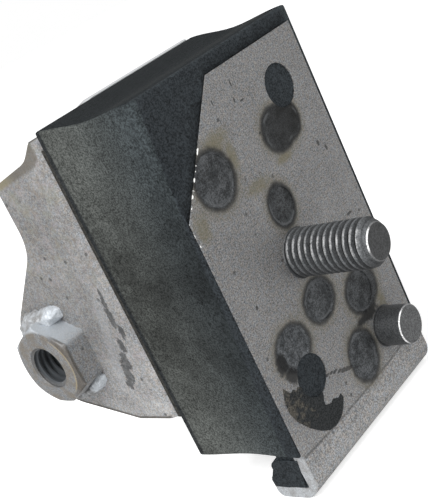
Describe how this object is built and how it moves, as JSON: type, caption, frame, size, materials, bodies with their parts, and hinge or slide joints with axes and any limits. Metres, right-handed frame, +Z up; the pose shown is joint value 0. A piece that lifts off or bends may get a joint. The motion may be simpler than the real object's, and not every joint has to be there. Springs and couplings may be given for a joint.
{
  "type": "transmission mount",
  "caption": "Rubber block bonded between a hooked steel plate, with a threaded stud and a locating pin, and a clevis bracket with a weld nut.",
  "frame": {"origin": "on the stud's axis, in the outer face of the front plate", "axes": "stud points along -Y, the rubber and the bracket lie towards +Y, +Z is up with the hook at the bottom, +X is to the right when the plate is looked at"},
  "size_m": [0.0737, 0.1092, 0.1094],
  "materials": {
    "plate_steel": "bare sheet steel with heat-tinted spot welds",
    "retainer_steel": "bare sheet steel",
    "stud_steel": "dark phosphated threads with bright crests",
    "pin_steel": "dark phosphated, bright rim",
    "mount_rubber": "moulded black rubber, dusty on its sides",
    "bracket_steel": "bare formed sheet steel with light rust tints",
    "nut_steel": "bare steel with weld heat tints"
  },
  "bodies": {
    "root": {"front_plate": "plate_steel", "retainer_plate": "retainer_steel", "mounting_stud": "stud_steel", "locating_pin": "pin_steel", "rubber_block": "mount_rubber", "mounting_bracket": "bracket_steel", "weld_nut": "nut_steel"}
  },
  "joints": []
}
